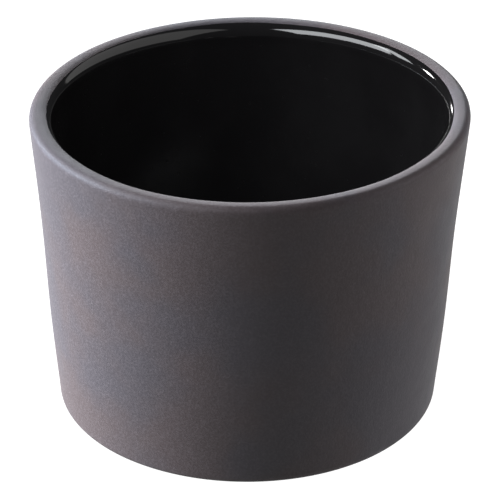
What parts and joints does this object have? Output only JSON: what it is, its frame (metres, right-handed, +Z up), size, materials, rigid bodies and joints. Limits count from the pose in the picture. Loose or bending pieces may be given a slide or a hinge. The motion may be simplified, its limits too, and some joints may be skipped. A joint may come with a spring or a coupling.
{
  "type": "empty candle jar",
  "caption": "Squat tapered stoneware candle jar, open at the top, with a rounded bare lip, a glossy glazed inside and a turned foot ring.",
  "frame": {"origin": "centre of the foot, on the plane that the jar stands on", "axes": "+Z up along the axis of revolution, out of the mouth; the jar is round, so X and Y are free"},
  "size_m": [0.0818, 0.0818, 0.06],
  "materials": {
    "clay": "matte unglazed charcoal stoneware, fine grain",
    "glaze": "glossy black glaze"
  },
  "bodies": {
    "root": {"jar_body": "clay", "glaze_lining": "glaze"}
  },
  "joints": []
}
